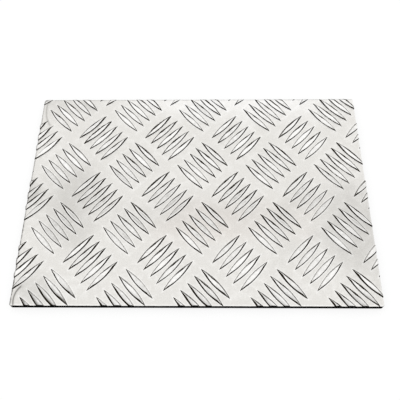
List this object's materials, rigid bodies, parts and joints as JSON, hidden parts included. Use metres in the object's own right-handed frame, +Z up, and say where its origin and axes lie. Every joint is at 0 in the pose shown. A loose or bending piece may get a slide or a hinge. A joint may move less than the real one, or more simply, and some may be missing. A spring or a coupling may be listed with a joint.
{
  "type": "aluminium tread plate",
  "caption": "Cut rectangle of rolled aluminium tread plate, flat underneath, with raised lens-shaped bars in crossed groups on top for grip.",
  "frame": {"origin": "middle of the flat underside", "axes": "+X along the long edge, +Y along the short edge, +Z up out of the patterned face"},
  "size_m": [0.24, 0.165, 0.006],
  "materials": {
    "mill_aluminium": "bright mill finish, rolled, with plain cut edges"
  },
  "bodies": {
    "root": {"tread_plate": "mill_aluminium"}
  },
  "joints": []
}
